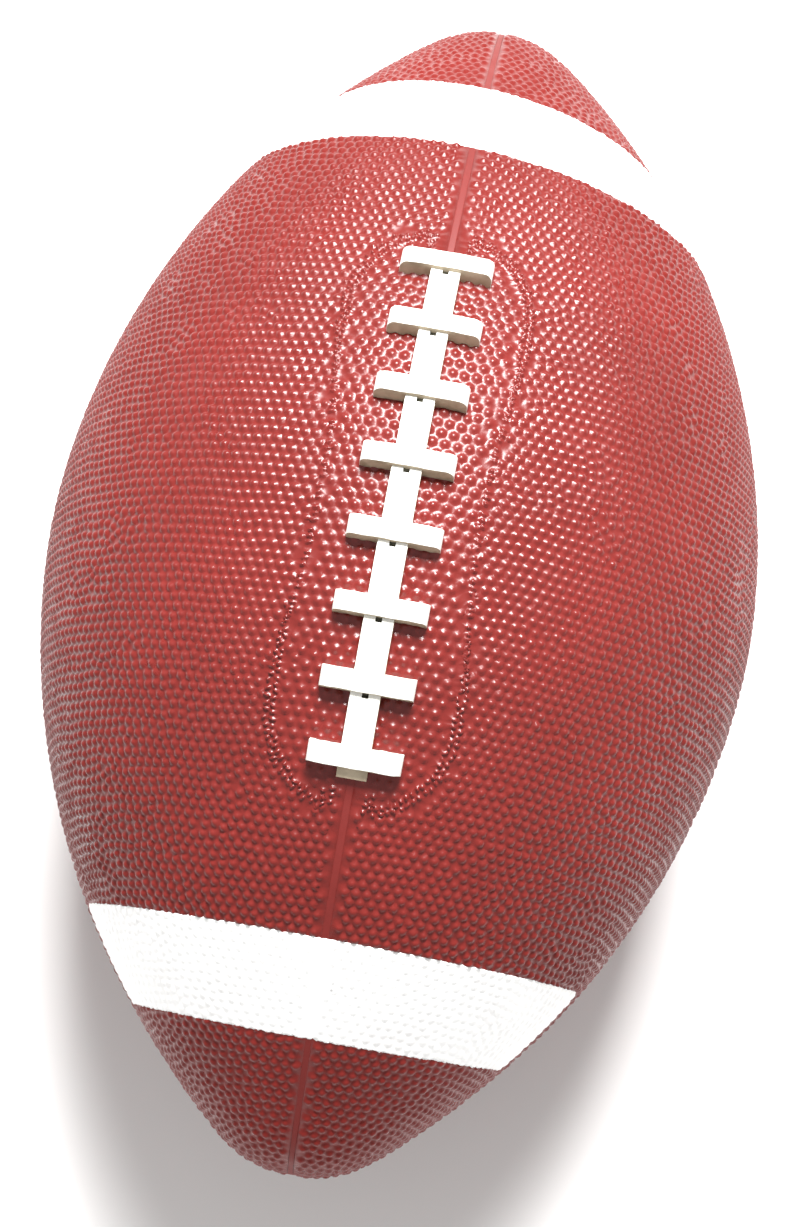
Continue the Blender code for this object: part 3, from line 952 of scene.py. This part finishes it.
def build_spine(white, painted_shade, notch_painted_shade):
    """The strip under the bars, with its notches and a low tab past the rear bar."""
    rear_body = bar_arc(1) - BAR_WIDTH / 2.0
    rear_end = rear_body - TAB_LENGTH
    notches = spine_notches()
    stations = spine_stations(rear_end, rear_body, notches)
    section = spine_section()
    half = SPINE_WIDTH / 2.0

    def notched(arc):
        return any(start < arc < end for start, end in notches)

    def top_height(arc):
        """The body is level, and the tab is lower, with a rounded end."""
        if arc > rear_body - 0.01 * MM:
            return SPINE_HEIGHT
        if arc == rear_end:
            return TAB_HEIGHT - 0.28 * MM
        if arc < rear_end + 0.2 * MM:
            return TAB_HEIGHT - 0.08 * MM
        return TAB_HEIGHT

    points = []
    for arc in stations:
        middle, _, up, _ = lace_frame(arc)
        points.append(middle - up * SPINE_SINK + np.array([0.0, half, 0.0]))
        for side, drop in section:
            dented = notched(arc) and abs(side) < NOTCH_WIDTH / 2.0
            height = top_height(arc) + (-NOTCH_DEPTH if dented else drop)
            points.append(middle + up * height + np.array([0.0, -side, 0.0]))
        points.append(middle - up * SPINE_SINK + np.array([0.0, -half, 0.0]))
    ring = len(section) + 2
    faces = []
    for i in range(len(stations) - 1):
        for k in range(ring):
            n = (k + 1) % ring
            faces.append((i * ring + k, (i + 1) * ring + k, (i + 1) * ring + n, i * ring + n))
    faces += end_caps(ring, len(stations))
    spine = new_piece("lace_spine", points, faces)
    finish_edges(spine, 40.0)
    assign(spine, white, painted_shade, notch_painted_shade)
    # Painted shade: the notch faces take the near-black finish, and the tab and the spine's sides the
    # darker tan one, for the shade that falls there.
    top_faces = range(2, ring - 3)
    notch_faces = range(len(section) // 2 - 1, len(section) // 2 + 2)
    for i in range(len(stations) - 1):
        middle = (stations[i] + stations[i + 1]) / 2.0
        for k in range(ring):
            face = spine.data.polygons[i * ring + k]
            if notched(middle) and k in notch_faces:
                face.material_index = 2
            elif middle < rear_body or k not in top_faces:
                face.material_index = 1


def build_bar(number, white, painted_shade):
    """A cross bar: a flat-topped block that curves down to the cover at both ends."""
    middle, along, up, bend = lace_frame(bar_arc(number))
    half = BAR_LENGTH / 2.0
    rise = BAR_HEIGHT - BAR_END_HEIGHT

    def drop(side):
        """How far the cover falls away to the side of the lace's middle line."""
        return bend - math.sqrt(bend**2 - side**2)

    outline = [(side, -BAR_SINK - drop(side)) for side in np.linspace(-half, half, 13)]
    crown = []
    for k in range(BAR_END_POINTS + 1):
        turn = math.pi / 2.0 * k / BAR_END_POINTS
        side = half - BAR_END_RUN * (1.0 - math.cos(turn))
        crown.append((side, BAR_END_HEIGHT + rise * math.sin(turn) - 0.5 * drop(side)))
    flat = np.linspace(half - BAR_END_RUN, -half + BAR_END_RUN, 9)[1:-1]
    top = [(side, BAR_HEIGHT - 0.5 * drop(side)) for side in flat]
    outline += crown + top + [(-side, high) for side, high in reversed(crown)]
    sideways = np.array([0.0, -1.0, 0.0])
    points = []
    for edge, foot in ((-1.0, 0.9 * BAR_FOOT), (1.0, 0.1 * BAR_FOOT)):
        for side, high in outline:
            reach = BAR_WIDTH / 2.0 + foot * min(1.0, max(0.0, 1.0 - (high + drop(side)) / BAR_HEIGHT))
            for size, rate, shift in BAR_WAVES:
                reach += size * math.sin(side * rate + number * shift + edge)
            points.append(middle + sideways * side + up * high + along * edge * reach)
    ring = len(outline)
    faces = [(k, (k + 1) % ring, ring + (k + 1) % ring, ring + k) for k in range(ring)]
    faces += [tuple(range(ring))[::-1], tuple(range(ring, 2 * ring))]
    bar = new_piece(f"lace_bar_{number}", points, faces)
    finish_edges(bar, 50.0, 0.16 * MM)
    assign(bar, white, painted_shade)
    # Painted shade: faces turned towards -X, away from the key light, take the darker tan finish.
    along = Vector(along)
    for face in bar.data.polygons:
        face.material_index = int(face.normal.dot(along) < -0.75)


# ---- materials

class Paint:
    """A small helper for procedural node materials."""

    def __init__(self, name):
        self.material = bpy.data.materials.new(name)
        self.material.use_nodes = True
        self.tree = self.material.node_tree
        self.shader = self.tree.nodes["Principled BSDF"]
        self.place = self.tree.nodes.new("ShaderNodeTexCoord").outputs["Object"]

    def feed(self, node, inputs):
        """Gives inputs of a node their numbers, or links other nodes' outputs to them."""
        for name, value in inputs.items():
            if isinstance(value, bpy.types.NodeSocket):
                self.tree.links.new(value, node.inputs[name])
            else:
                node.inputs[name].default_value = value

    def node(self, kind, inputs, **settings):
        made = self.tree.nodes.new(kind)
        for setting, value in settings.items():
            setattr(made, setting, value)
        self.feed(made, inputs)
        return made

    def noise(self, scale, detail=3.0):
        inputs = {"Vector": self.place, "Scale": scale, "Detail": detail}
        return self.node("ShaderNodeTexNoise", inputs).outputs["Fac"]

    def ramp(self, value, *stops):
        """Blends between two stops, each a position and a colour."""
        node = self.node("ShaderNodeValToRGB", {"Fac": value})
        for element, (position, colour) in zip(node.color_ramp.elements, stops):
            element.position = position
            element.color = (*colour, 1.0)
        return node.outputs["Color"]

    def mix(self, share, first, second):
        inputs = {0: share, 6: first, 7: second}
        return self.node("ShaderNodeMix", inputs, data_type="RGBA").outputs[2]

    def spread(self, value, low, high, to_low, to_high):
        """Maps value from low..high to to_low..to_high and holds it there."""
        inputs = {"Value": value, "From Min": low, "From Max": high, "To Min": to_low, "To Max": to_high}
        return self.node("ShaderNodeMapRange", inputs).outputs["Result"]

    def outwards(self, axis, near, far, at_near, at_far):
        """A value that changes with the distance from the middle of the ball along one axis."""
        place = self.node("ShaderNodeSeparateXYZ", {"Vector": self.place}).outputs[axis]
        distance = self.node("ShaderNodeMath", {0: place}, operation="ABSOLUTE").outputs["Value"]
        return self.spread(distance, near, far, at_near, at_far)

    def times(self, first, second):
        return self.node("ShaderNodeMath", {0: first, 1: second}, operation="MULTIPLY").outputs["Value"]

    def bump(self, value, distance, strength):
        inputs = {"Height": value, "Distance": distance, "Strength": strength}
        return self.node("ShaderNodeBump", inputs).outputs["Normal"]


def rubber(name, dark, light, roughness):
    """Mottled red rubber, less shiny towards the tips and down the sides."""
    paint = Paint(name)
    broad = paint.noise(28.0)
    fine = paint.noise(900.0)
    base = paint.ramp(broad, (0.30, dark), (0.70, light))
    spots = paint.ramp(fine, (0.35, [0.90 * c for c in light]), (0.65, light))
    uneven = paint.noise(160.0, 4.0)
    ends = paint.outwards("X", near=0.020, far=0.110, at_near=0.42, at_far=0.34)
    sides = paint.outwards("Z", near=0.020, far=0.070, at_near=0.50, at_far=1.0)
    paint.feed(paint.shader, {
        "Base Color": paint.mix(paint.spread(fine, 0.3, 0.7, 0.0, 0.5), base, spots),
        "Roughness": paint.spread(uneven, 0.3, 0.7, roughness - 0.06, roughness + 0.08),
        "Specular IOR Level": paint.times(ends, sides),
        "Normal": paint.bump(paint.noise(2600.0, 2.0), 0.03 * MM, 0.6),
    })
    return paint.material


def plain_finish(name, low, high, roughness, scale, bump_scale, bump_height):
    """A clouded finish between two colours, with fine bumps."""
    paint = Paint(name)
    uneven = paint.noise(3.0 * scale)
    paint.feed(paint.shader, {
        "Base Color": paint.ramp(paint.noise(scale, 4.0), (0.30, low), (0.60, high)),
        "Roughness": paint.spread(uneven, 0.3, 0.7, roughness - 0.05, roughness + 0.08),
        "Normal": paint.bump(paint.noise(bump_scale), bump_height, 0.7),
    })
    return paint.material


def wound_yarn(name):
    """Wavy stripes of thread."""
    paint = Paint(name)
    stripes = {"Vector": paint.place, "Scale": 420.0, "Distortion": 6.0}
    wave = paint.node("ShaderNodeTexWave", stripes).outputs["Fac"]
    paint.feed(paint.shader, {
        "Base Color": paint.ramp(wave, (0.2, (0.42, 0.37, 0.28)), (0.8, (0.66, 0.60, 0.48))),
        "Roughness": 0.8,
        "Normal": paint.bump(wave, 0.1 * MM, 0.8),
    })
    return paint.material


# ---- build the ball

panels = [
    Panel("cover_panel_lace_left", 0.0, -1.0, False),
    Panel("cover_panel_lace_right", 90.0, 1.0, False),
    Panel("cover_panel_belly_left", -90.0, 0.0, False),
    Panel("cover_panel_belly_right", 180.0, 0.0, True),
]
cover_red = rubber("cover_red_rubber", (0.124, 0.0100, 0.0075), (0.157, 0.0130, 0.0100), 0.31)
seam_red = rubber("seam_red_rubber", (0.124, 0.0105, 0.0080), (0.157, 0.0135, 0.0105), 0.50)
finish = {name: plain_finish(name, *values) for name, values in FINISHES.items()}

lace_grains = []
for panel in panels:
    grain = Grain(panel)
    assign(build_panel(panel, grain), cover_red)
    if panel.hand:
        lace_grains.append(grain)

for strip in build_seams():
    assign(strip, seam_red)

assign(build_band("white_band_front", 1.0, lace_grains), finish["white_ink"])
assign(build_band("white_band_rear", -1.0, lace_grains), finish["white_ink"])
# The second lace finish is painted shade: a darker tan for the lace faces that the key light doesn't
# reach.
lace_white, lace_painted_shade = finish["lace_white_vinyl"], finish["lace_painted_shade_vinyl"]
build_spine(lace_white, lace_painted_shade, finish["lace_notch_painted_shade"])
for number in range(1, BAR_COUNT + 1):
    build_bar(number, lace_white, lace_painted_shade)

assign(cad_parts["valve_boot"], finish["valve_rubber"])
assign(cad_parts["valve_core"], finish["valve_core_rubber"])
assign(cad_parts["bladder"], finish["bladder_butyl"])
assign(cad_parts["wound_carcass"], wound_yarn("winding_yarn"))


# ---- floor, light and camera

bpy.ops.mesh.primitive_plane_add(size=6.0, location=(0.0, 0.0, -MAX_RADIUS - FLOOR_GAP))
floor = bpy.context.active_object
floor.name = "floor"
assign(floor, finish["floor_paper"])

key_data = bpy.data.lights.new("key_light", "AREA")
key_data.shape = "SQUARE"
key_data.size = KEY_SIZE
key_data.energy = KEY_WATTS
key = bpy.data.objects.new("key_light", key_data)
key.location = KEY_PLACE
key.rotation_euler = (-KEY_PLACE).to_track_quat("-Z", "Y").to_euler()
bpy.context.scene.collection.objects.link(key)

world = bpy.data.worlds.new("studio")
world.use_nodes = True
world.node_tree.nodes["Background"].inputs["Color"].default_value = (1.0, 1.0, 1.0, 1.0)
world.node_tree.nodes["Background"].inputs["Strength"].default_value = SKY_STRENGTH
bpy.context.scene.world = world
bpy.context.scene.view_settings.view_transform = "Standard"

camera_data = bpy.data.cameras.new("camera")
camera_data.sensor_width = 36.0
camera_data.lens = CAMERA_LENS
camera_data.clip_start = 0.01
camera_data.clip_end = 20.0
camera = bpy.data.objects.new("camera", camera_data)
camera_right = CAMERA_FORWARD.cross(CAMERA_UP).normalized()
camera_up = camera_right.cross(CAMERA_FORWARD).normalized()
turned = Matrix((camera_right, camera_up, -CAMERA_FORWARD.normalized())).transposed()
camera.matrix_world = Matrix.Translation(CAMERA_PLACE) @ turned.to_4x4()
bpy.context.scene.collection.objects.link(camera)
bpy.context.scene.camera = camera
